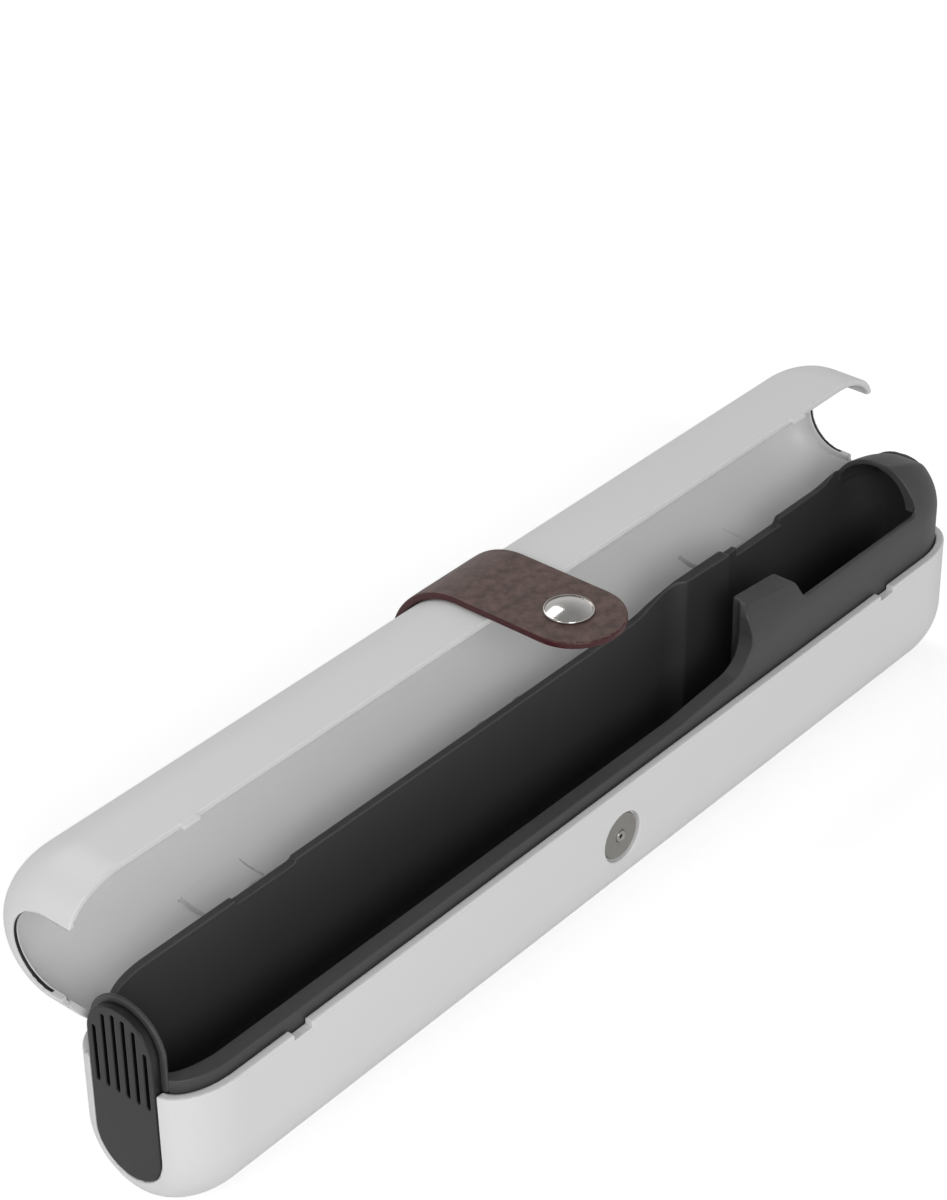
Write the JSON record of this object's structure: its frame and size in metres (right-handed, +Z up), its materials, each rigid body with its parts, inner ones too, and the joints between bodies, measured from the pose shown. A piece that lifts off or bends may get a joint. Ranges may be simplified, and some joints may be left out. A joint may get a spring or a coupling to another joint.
{
  "type": "toothbrush travel case",
  "caption": "Long capsule travel case for a toothbrush: hinged lid, vented ends, moulded inner tray and a leather strap with a snap.",
  "frame": {"origin": "centre of the flat foot under the base", "axes": "+X along the case towards the head end, +Z up from the foot to the lid, clasp on -Y and hinge on +Y"},
  "size_m": [0.236, 0.0497, 0.0658],
  "materials": {
    "shell": "satin",
    "tray": "matte",
    "vent": "satin",
    "seal": "matte",
    "leather": "grained",
    "steel": "brushed",
    "chrome": "polished"
  },
  "bodies": {
    "base": {"base_shell": "shell", "inner_tray": "tray", "near_vent_plate": "vent", "far_vent_plate": "vent", "near_base_leaf": "shell", "far_base_leaf": "shell", "near_hinge_pin": "steel", "far_hinge_pin": "steel", "clasp_disc": "steel", "clasp_rivet": "chrome", "clasp_magnet": "steel"},
    "lid": {"lid_shell": "shell", "near_lid_seal": "seal", "far_lid_seal": "seal", "near_lid_leaf": "shell", "far_lid_leaf": "shell", "strap_band": "leather", "strap_rivets": "steel", "strap_rivet_washers": "steel"},
    "flap": {"strap_flap": "leather", "snap_cap": "chrome", "snap_backing": "steel"}
  },
  "joints": [
    {"name": "lid_hinge", "type": "hinge", "parent": "base", "child": "lid", "pos_m": [0, 0.01375, 0.03326], "axis": [1, 0, 0], "range_deg": [0, 90]},
    {"name": "strap_fold", "type": "hinge", "parent": "lid", "child": "flap", "pos_m": [0, 0.00969, 0.06411], "axis": [-1, 0, 0], "range_deg": [0, 75]}
  ]
}
